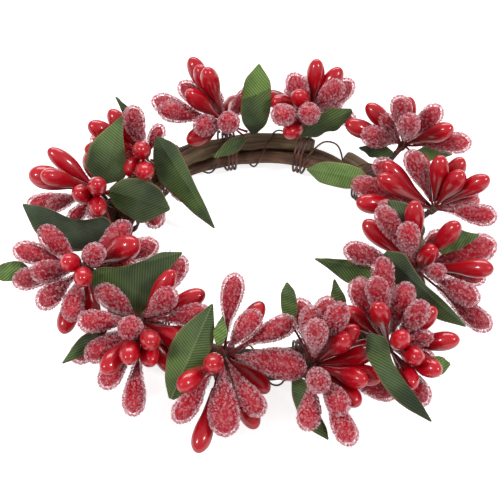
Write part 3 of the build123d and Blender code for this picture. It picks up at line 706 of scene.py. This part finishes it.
for number in PICKS:
    tag = "pick_%02d" % number
    root = pick_root(number)
    wires, collar = Build(), Build()
    for index, points in enumerate(solids(tag + "_stems")):
        if len(points) > WIRE_POINTS:
            taped_collar(collar, points, root)
        else:
            wrapped_stem(wires, points, root, np.random.default_rng(number * 100 + index))
    made = wires.object(tag + "_wrapped_stems", PAPER, "stem_wire")
    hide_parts(tag + "_stems")
    collar.object(tag + "_collar", TAPE, "stem_wire")


# Leaves

# Of each pick: stalk, tip (right, up, toward the eye, as shares of SPAN), width, arch, roll, curl, half widths
# along the left and right edges, tone, the ribs' angle as seen, frayed threads.
PLACES = (0.0, 0.14, 0.34, 0.47, 0.64, 0.78, 1.0)
HOLLY = (0.5, 1.0, 0.66, 0.84, 0.42)
BAND = (0.8, 1.0, 1.0, 0.95, 0.85)
BLADE = (0.6, 0.95, 1.0, 0.8, 0.5)
LEAVES = {
    1: (
        ((0.3, -0.12, 0.1), (0.36, 0.62, 0.2), 0.32, 0.05, 0, 0.2, BAND, BAND, 0.3, 40, 0),
        ((0.22, -0.17, 0.35), (-0.12, -0.38, 0.4), 0.16, 0.03, 10, 0.1, BLADE, BLADE, 0.5, 60, 8),
    ),
    2: (
        ((0.44, 0.04, 0.1), (-0.22, -0.26, 0.35), 0.28, 0.05, 10, 0.3, HOLLY, HOLLY, 0.3, 30, 4),
    ),
    3: (
        ((-0.12, -0.1, 0.15), (-0.48, -0.04, 0.2), 0.2, 0.03, 0, 0.2, HOLLY, HOLLY, 0.1, 20, 4),
        ((0.1, -0.1, 0.1), (0.52, -0.1, 0.0), 0.2, 0.05, 10, 0.2, HOLLY, HOLLY, 0.8, -45, 4),
    ),
    4: (
        ((-0.66, 0.3, -0.15), (-1.3, 0.42, -0.33), 0.26, 0.03, 0, 0.2, BAND, BAND, 0.95, 65, 0),
    ),
    5: (
        ((0.0, 0.2, 0.1), (-0.28, 0.69, 0.08), 0.42, 0.08, 0, 0.4,
         (0.4, 0.4, 0.4, 0.4, 0.4), (0.6, 0.95, 1.0, 0.95, 0.75), 0.1, 110, 0),
        ((0.19, 0.2, 0.22), (0.62, 0.34, 0.2), 0.32, 0.05, 0, 0.2,
         (0.9, 1.0, 0.95, 0.7, 0.4), (0.5, 0.5, 0.5, 0.4, 0.3), 0.8, 60, 5),
        ((-0.34, 0.16, 0.5), (0.44, -0.56, 0.75), 0.52, 0.12, -10, 0.2,
         (0.55, 0.3, 0.2, 0.22, 0.2), (0.6, 1.0, 1.0, 0.66, 0.5), 0.25, 30, 6),
        ((-0.42, -0.04, 0.1), (-1.02, 0.1, 0.15), 0.34, 0.05, 0, 0.2,
         (0.85, 1.0, 0.9, 0.6, 0.35), (0.4, 0.45, 0.4, 0.3, 0.2), 0.5, -50, 0),
    ),
    6: (
        ((-0.22, 0.14, 0.55), (0.36, -0.68, 0.8), 0.36, 0.15, 0, 0.25,
         (0.7, 0.16, 0.1, 0.1, 0.14), (0.8, 0.9, 1.0, 0.95, 0.7), 0.2, -30, 0),
        ((0.25, -0.2, 0.35), (0.58, -0.16, 0.3), 0.2, 0.03, 0, 0.1, BAND, BAND, 0.9, 30, 14),
    ),
    7: (
        ((-0.22, 0.4, 0.0), (-0.26, 0.8, 0.1), 0.16, 0.03, 0, 0.3, BAND, BAND, 0.7, 20, 3),
        ((0.27, 0.44, 0.0), (0.2, 0.83, 0.1), 0.16, 0.03, 0, 0.1, BLADE, BLADE, 0.2, 20, 0),
        ((-0.2, -0.12, 0.12), (0.13, -0.7, 0.4), 0.38, -0.06, -20, 0.2,
         (0.5, 0.35, 0.2, 0.15, 0.15), (0.6, 0.9, 1.0, 0.9, 0.6), 0.6, -30, 4),
    ),
    8: (
        ((-0.5, -0.42, 0.25), (-0.1, 0.5, 0.25), 0.44, 0.06, 0, 0.25,
         (0.6, 0.9, 1.0, 0.9, 0.6), (0.7, 0.8, 0.7, 0.75, 0.55), 0.45, 5, 4),
        ((-0.04, 0.1, 0.3), (0.0, 0.38, 0.3), 0.14, 0.03, 0, 0.1, BLADE, BLADE, 0.95, 35, 3),
    ),
    9: (
        ((-0.34, -0.06, 0.2), (-0.76, -0.4, 0.3), 0.18, 0.03, 0, 0.2, BLADE, BLADE, 0.3, 20, 0),
    ),
    10: (
        ((0.06, -0.1, 0.42), (1.0, 0.15, 0.45), 0.96, 0.06, 0, 0.12,
         (0.16, 0.04, 0.03, 0.05, 0.14), (0.62, 0.94, 1.0, 0.65, 0.34), 0.4, 88, 14),
        ((-0.57, -0.01, 0.0), (-0.92, -0.07, 0.05), 0.2, 0.03, 0, 0.2, BAND, BAND, 0.7, 40, 14),
    ),
    11: (
        ((0.05, 0.08, 0.1), (0.25, 0.78, 0.14), 0.46, 0.07, 0, 0.15,
         (1.0, 1.05, 1.05, 0.8, 0.5), (0.9, 0.85, 0.66, 0.42, 0.25), 0.42, -38, 4),
        ((0.2, -0.46, 0.55), (-0.76, -0.14, 0.35), 0.62, 0.05, 0, 0.15,
         (0.6, 0.95, 1.0, 0.9, 0.8), (0.55, 0.15, 0.06, 0.12, 0.16), 0.0, 20, 4),
    ),
    12: (
        ((-0.33, -0.38, 0.62), (0.3, -0.57, 0.7), 0.46, 0.05, 0, 0.1,
         (0.7, 0.9, 0.95, 0.9, 0.75), (0.6, 0.8, 0.9, 1.0, 0.7), 0.35, 22, 4),
        ((0.15, 0.18, 0.4), (0.75, -0.76, 0.28), 0.46, 0.07, 0, 0.2,
         (0.6, 0.5, 0.4, 0.28, 0.22), (0.65, 1.0, 0.85, 0.6, 0.45), 0.3, 33, 4),
        ((-0.05, 0.3, 0.0), (-0.29, 0.62, 0.1), 0.1, 0.0, 0, 0.1, BLADE, BLADE, 0.3, 20, 3),
    ),
}
LEAF_THICKNESS, LEAF_ROWS, LEAF_COLUMNS = 0.22 * MM, 56, 21
STALK_HALF, TIP_HALF, SOFT_SHIFTS, SHARP_END = 0.8 * MM, 0.25 * MM, (-0.05, -0.025, 0.0, 0.025, 0.05), 0.06
CREASE, CREASE_WIDTH, EDGE_WAVE, FINE_WAVE = 0.2 * MM, 0.5 * MM, 0.4 * MM, 0.12 * MM
FOLD_PLACE, FOLD_SLANT, FOLD_WIDTH = 0.56, 0.1, 0.02
VEIN_WIDTH, TONE_DRIFT, WORN_EDGE, WORN_END = 0.22 * MM, 0.2, 0.93, 0.985
THREAD_RADIUS, THREAD_ROOT = 0.055 * MM, 0.3 * MM
SPARE_WIDTH, LEAST_CUT, LEAST_FILL = 1.05, 10 * MM, 0.3
FOLDED_LEAF, VEINED_LEAF = "pick_01_leaf_1", "pick_08_leaf_1"


def outline(shares, half, t):
    """Half width along one edge of a leaf, with its corners a little softened."""
    wide = np.concatenate([[STALK_HALF], np.array(shares) * half, [TIP_HALF]])
    soft = np.array([np.interp(np.clip(t + shift, 0, 1), PLACES, wide) for shift in SOFT_SHIFTS]).mean(0)
    ends = np.clip(np.minimum(t, 1 - t) / SHARP_END, 0, 1)
    return ends * soft + (1 - ends) * np.interp(t, PLACES, wide)


def fray(build, top, columns, directions, threads, tone, local):
    """Short threads that stand out of a leaf's edges, most of them near its tip."""
    along, aside, looks = directions
    last = len(top) // columns - 1
    for index in range(threads):
        i = int(local.uniform(0.8, 1.0) * last) if index % 3 else int(local.uniform(0.3, 0.7) * last)
        j = 0 if index % 2 else columns - 1
        base = top[i * columns + j]
        out = (aside * (1 if j else -1) * local.uniform(0.3, 1) + along * local.uniform(0.2, 1)
               + looks * local.uniform(-0.4, 0.4))
        out /= np.linalg.norm(out)
        reach = local.uniform(0.7, 1.9) * MM
        bow = looks * local.uniform(-0.3, 0.3) * MM
        q = np.linspace(0, 1, 5)
        path = base - out * THREAD_ROOT + np.outer(q, out * reach) + np.outer(q ** 2, bow)
        verts, quads, caps = tube(path, THREAD_RADIUS, 4)
        build.add(verts, quads, flat=np.zeros((len(verts), 3)), edge=0.8, vein=0.0, tone=tone)
        build.close(caps, verts)


def leaf(name, root, row, seed):
    """One leaf of ribbed ribbon, arched, its edges curled down, its ribs at their own angle, its ends frayed.

    Gives the piece, its area, the length of its midrib and its width laid flat."""
    stalk, tip, width, arch, roll, curl, lefts, rights, tone, rib_angle, threads = row
    local = np.random.default_rng(seed)
    start = root + (np.array(stalk) * SPAN) @ SIGHT
    run = root + (np.array(tip) * SPAN) @ SIGHT - start
    length = np.linalg.norm(run)
    along = run / length
    side = np.cross(SIGHT[2], along)
    side /= np.linalg.norm(side)
    face = np.cross(along, side)
    turn = math.radians(roll)
    looks = face * math.cos(turn) + side * math.sin(turn)
    aside = -np.cross(looks, along)
    aside /= np.linalg.norm(aside)
    half = width * SPAN / 2
    veined = name == VEINED_LEAF
    folded = name == FOLDED_LEAF
    rows, columns = LEAF_ROWS, LEAF_COLUMNS
    t = np.linspace(0, 1, rows)
    s = np.linspace(-1, 1, columns)
    s = np.sign(s) * np.abs(s) ** 1.4
    left, right = outline(lefts, half, t), outline(rights, half, t)
    heading = math.atan2(along @ SIGHT[1], along @ SIGHT[0]) - math.radians(rib_angle)
    phase = local.uniform(*ANY_PHASE, 3)
    points, flat, edge, vein, tones = [], [], [], [], []
    for i in range(rows):
        wide = np.where(s < 0, left[i], right[i])
        off = s * wide
        lift = 4 * arch * SPAN * t[i] * (1 - t[i])
        drop = curl * np.abs(off) * (0.55 + 0.45 * np.abs(s))
        crease = CREASE * np.exp(-(off / CREASE_WIDTH) ** 2)
        wave = EDGE_WAVE * np.sin(t[i] * 8 + phase[0] + 1.5 * np.sign(s)) * s ** 2
        wave += FINE_WAVE * np.sin(t[i] * 23 + phase[1] + 2.2 * s)
        fade = min(1.0, 6 * t[i], 6 * (1 - t[i]) + 0.15)
        centre = start + along * (length * t[i])
        rise = lift - LEAF_THICKNESS * 0.4 - drop + crease + wave * fade
        points.append(centre + np.outer(off, aside) + np.outer(rise, looks))
        u, v = length * t[i], np.abs(off) if veined else off
        over = np.clip((t[i] - FOLD_PLACE - FOLD_SLANT * s) / FOLD_WIDTH, 0, 1) if folded else np.zeros(columns)
        drift = TONE_DRIFT * math.sin(4.5 * t[i] + phase[2])
        tones.append(np.clip(tone + drift + over * (1.0 - tone), 0, 1))
        v = np.where(over > 0.5, -v, v)
        vein.append(np.exp(-(off / VEIN_WIDTH) ** 2) * (0.9 - 0.5 * t[i]) * veined)
        flat.append(np.stack([u * math.sin(heading) - v * math.cos(heading),
                              u * math.cos(heading) + v * math.sin(heading), np.full(columns, seed * 0.01)], axis=1))
        edge.append(0.8 * np.clip((np.abs(s) - WORN_EDGE) / (1 - WORN_EDGE), 0, 1)
                    + 0.5 * np.clip((t[i] - WORN_END) / (1 - WORN_END), 0, 1))
    top = np.concatenate(points)
    faces = grid_faces(rows, columns, False)
    a, b, c, d = (top[faces[:, k]] for k in range(4))
    halves = np.cross(b - a, c - a), np.cross(c - a, d - a)
    area = sum(np.linalg.norm(half_quad, axis=1).sum() for half_quad in halves) / 2
    build = Build()
    normals = np.zeros_like(top)
    np.add.at(normals, faces, np.cross(c - a, d - b)[:, None, :])
    normals /= np.maximum(np.linalg.norm(normals, axis=1), 1e-12)[:, None]
    if normals.mean(0) @ looks < 0:
        normals = -normals
        faces = faces[:, ::-1]
    under = top - normals * LEAF_THICKNESS
    flat, edge, vein, tones = (np.concatenate(part) for part in (flat, edge, vein, tones))
    build.add(top, faces, flat=flat, edge=edge, vein=vein, tone=tones)
    build.add(under, faces[:, ::-1], flat=flat, edge=edge, vein=vein * 0, tone=tones)
    rim = [i * columns for i in range(rows)] + [(rows - 1) * columns + j for j in range(1, columns)]
    rim += [i * columns + columns - 1 for i in range(rows - 2, -1, -1)] + [j for j in range(columns - 2, 0, -1)]
    rim = np.array(rim)
    after = np.roll(rim, -1)
    build.faces.append(np.stack([rim, after, after + len(top), rim + len(top)], axis=1))
    fray(build, top, columns, (along, aside, looks), threads, tone, local)
    made = build.object(name, RIBBON, "leaf_cloth")
    run_length = np.linalg.norm(np.diff(top.reshape(rows, columns, 3)[:, columns // 2], axis=0), axis=1).sum()
    return made, area, run_length, (left + right).max() * SPARE_WIDTH


for number, rows in LEAVES.items():
    root = pick_root(number)
    tag = "pick_%02d" % number
    for index, row in enumerate(rows):
        name = tag + "_leaf_%d" % (index + 1)
        made, area, length, width = leaf(name, root, row, number * 10 + index)
        if index == 0:
            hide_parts(tag + "_leaves")
        cut_width = max(width, LEAST_CUT)
        cut_length = max(length, area / cut_width, LEAST_CUT)
        area = min(max(area, LEAST_FILL * cut_width * cut_length), cut_width * cut_length)


# The vine and its binding

OFFSET, STRAND, BUNDLE = 3.2909 * MM, 2.7 * MM, 6.9409 * MM
STRAND_STARTS = (68.0, 205.0, 318.0)
STRAND_SPAN = 346.0
STRAND_STATIONS, STRAND_SIDES, STRAND_TONES = 520, 24, (0.2, 0.9, 0.55)
KNOTS, KNOT_RISE, KNOT_DEGREES = 7, 0.07, 2.2
GROOVES, GROOVE_DEPTH, FINE_GROOVES, FINE_DEPTH, FLATTENED = 5, 0.035, 9, 0.02, 0.1


def strand_centre(strand, degrees):
    """The middle of one of the three strands, which twist once round each other on their way round the ring."""
    phase = FULL_TURN * (strand / 3 + degrees / 360)
    return polar(RING + OFFSET * math.cos(phase), degrees, BUNDLE + OFFSET * math.sin(phase))


for strand in range(3):
    local = np.random.default_rng(40 + strand)
    stations, sides = STRAND_STATIONS, STRAND_SIDES
    degrees = STRAND_STARTS[strand] + np.linspace(0, STRAND_SPAN, stations)
    phases = local.uniform(*ANY_PHASE, 8)
    knots = STRAND_STARTS[strand] + local.uniform(10, STRAND_SPAN - 10, KNOTS)
    verts, flat, ridge = [], [], []
    for k, angle in enumerate(degrees):
        middle = strand_centre(strand, angle)
        outward = polar(1, angle, 0)
        around = np.linspace(0, FULL_TURN, sides, endpoint=False)
        turn = around + 0.02 * (angle - degrees[0])
        size = 0.93 + 0.03 * math.sin(angle * 0.11 + phases[0]) + 0.02 * math.sin(angle * 0.37 + phases[1])
        size += sum(KNOT_RISE * math.exp(-((angle - knot) / KNOT_DEGREES) ** 2) for knot in knots)
        grooves = GROOVE_DEPTH * np.sin(GROOVES * turn + phases[2])
        grooves += FINE_DEPTH * np.sin(FINE_GROOVES * turn + phases[3] + 0.05 * angle)
        flatten = 1 - FLATTENED * np.cos(2 * (around + phases[4]))
        reach = STRAND * (size + grooves) * flatten
        end = min(k, stations - 1 - k)
        if end < 2:
            reach = reach * (0.86 + 0.07 * end)
        points = middle + np.outer(np.cos(around) * reach, outward)
        points[:, 2] += np.sin(around) * reach
        verts.append(points)
        length = RING * math.radians(angle - degrees[0])
        flat.append(np.stack([np.full(sides, length), np.cos(around) * STRAND, np.sin(around) * STRAND], axis=1))
        ridge.append(np.clip(np.sin(GROOVES * turn + phases[2]) - 0.72, 0, 1) * 2.4
                     * (0.5 + 0.5 * math.sin(angle * 0.23 + phases[5])))
    build = Build()
    verts = np.concatenate(verts + [verts[0].mean(0)[None], verts[-1].mean(0)[None]])
    flat = np.concatenate(flat + [np.zeros((2, 3))])
    ridge = np.append(np.concatenate(ridge), (0.6, 0.6))
    top, last = len(verts) - 1, (stations - 1) * sides
    build.add(verts, grid_faces(stations, sides, True), flat=flat, ridge=ridge, tone=STRAND_TONES[strand])
    build.close([(top - 1, (k + 1) % sides, k) for k in range(sides)], verts)
    build.close([(top, last + k, last + (k + 1) % sides) for k in range(sides)], verts)
    made = build.object("vine_twig_%d" % (strand + 1), BARK, "vine")
    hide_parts("vine_strand_%d" % (strand + 1))


TIE_TURNS, TIE_SPREAD, TIE_REACH, TIE_WIRE = 3.0, 4.4 * MM, 6.95 * MM, 0.4 * MM
LONG_TURNS, LONG_REACH, LONG_WIRE, LONG_MIDDLE, LONG_SHARE = 17, 6.5 * MM, 0.32 * MM, 190, 0.94
WIRE_WOBBLE = 0.12 * MM


def wound(degrees, spread, turns, radius, start, points_per_turn=40):
    """Points of a wire wound round the vine."""
    count = int(turns * points_per_turn)
    t = np.linspace(0, 1, count)
    path = []
    for share in t:
        angle = start + FULL_TURN * turns * share
        at = degrees + spread * (share - 0.5) / RING * 180 / math.pi
        size = radius + WIRE_WOBBLE * math.sin(5 * angle + 3 * share)
        outward = polar(1, at, 0)
        point = polar(RING, at, BUNDLE) + outward * (size * math.cos(angle))
        point[2] += size * math.sin(angle)
        path.append(point)
    return np.array(path)


def bind(path, radius, sides):
    """One wire of the binding along a path, flattened where it would go into the table."""
    verts, faces, caps = tube(path, radius, sides)
    verts[:, 2] = np.maximum(verts[:, 2], 0.0)
    binding.add(verts, faces)
    binding.close(caps, verts)


binding = Build()
for degrees, out in PICK_SHARES.values():
    lean = math.atan2(ROOT_HEIGHT - BUNDLE, out * RING)
    bind(wound(degrees, TIE_SPREAD, TIE_TURNS, TIE_REACH, lean), TIE_WIRE, 8)
bind(wound(LONG_MIDDLE, FULL_TURN * RING * LONG_SHARE, LONG_TURNS, LONG_REACH, 0.4, 34), LONG_WIRE, 7)
made = binding.object("binding_wire_turns", WIRE, "binding_wire")
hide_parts("binding_wires")


# Stage, light and camera

FLOOR_REACH, FLOOR_DROP, FLOOR_GLOW, FLOOR_IN_GLOSS = 3.0, 0.2 * MM, 0.8, 0.28
WORLD_LIGHT, WORLD_SEEN = 0.42, 1.0
CAMERA_LENS, CAMERA_SENSOR, CAMERA_PLACE, CAMERA_TILT = 171.9, 36.0, (-0.00268, -0.5456, 0.5931), 43


def floor():
    """A pale floor that glows for the camera, and less in reflections, so that it looks white."""
    mesh = bpy.data.meshes.new("floor")
    corners = [(x * FLOOR_REACH, y * FLOOR_REACH, -FLOOR_DROP) for x, y in ((-1, -1), (1, -1), (1, 1), (-1, 1))]
    mesh.from_pydata(corners, [], [(0, 1, 2, 3)])
    made = bpy.data.objects.new("floor", mesh)
    bpy.context.scene.collection.objects.link(made)
    f = Finish("floor_paper", Base_Color=(0.86, 0.86, 0.86, 1), Roughness=0.9, Specular_IOR_Level=0.0)
    rays = f.node("LightPath")
    glossy = f.maths("MULTIPLY", rays.outputs["Is Glossy Ray"], FLOOR_IN_GLOSS)
    glow, plus = f.node("Emission"), f.node("AddShader")
    f.link(f.maths("MULTIPLY_ADD", rays.outputs["Is Camera Ray"], FLOOR_GLOW, glossy), glow.inputs["Strength"])
    f.link(f.shader.outputs[0], plus.inputs[0])
    f.link(glow.outputs[0], plus.inputs[1])
    f.link(plus.outputs[0], f.output.inputs["Surface"])
    mesh.materials.append(f.material)
    made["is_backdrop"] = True


LAMP_AIM = (0, 0, 0.01)


def lamp(name, place, size, watts):
    """A soft rectangular lamp turned to the ring."""
    data = bpy.data.lights.new(name, "AREA")
    data.shape = "RECTANGLE"
    data.size, data.size_y = size
    data.energy = watts
    made = bpy.data.objects.new(name, data)
    made.location = place
    made.rotation_euler = (Vector(LAMP_AIM) - Vector(place)).to_track_quat("-Z", "Y").to_euler()
    bpy.context.scene.collection.objects.link(made)


floor()
lamp("left_soft", place=(-0.9, -0.45, 1.05), size=(0.24, 0.3), watts=9)
lamp("right_soft", place=(0.9, -0.4, 1.1), size=(0.24, 0.3), watts=9)
lamp("back_soft", place=(0.0, 1.1, 0.9), size=(1.2, 0.5), watts=10)

world = bpy.data.worlds.new("studio")
bpy.context.scene.world = world
world.use_nodes = True
tree = world.node_tree
background = tree.nodes["Background"]
background.inputs["Color"].default_value = (1, 1, 1, 1)
rays = tree.nodes.new("ShaderNodeLightPath")
level = tree.nodes.new("ShaderNodeMapRange")
level.inputs["To Min"].default_value = WORLD_LIGHT
level.inputs["To Max"].default_value = WORLD_SEEN
tree.links.new(rays.outputs["Is Camera Ray"], level.inputs["Value"])
tree.links.new(level.outputs["Result"], background.inputs["Strength"])

camera_data = bpy.data.cameras.new("camera")
camera_data.lens = CAMERA_LENS
camera_data.sensor_width = CAMERA_SENSOR
camera = bpy.data.objects.new("camera", camera_data)
camera.location = CAMERA_PLACE
camera.rotation_euler = (math.radians(CAMERA_TILT), 0, 0)
bpy.context.scene.collection.objects.link(camera)
bpy.context.scene.camera = camera
bpy.context.scene.view_settings.view_transform = "Standard"

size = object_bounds()
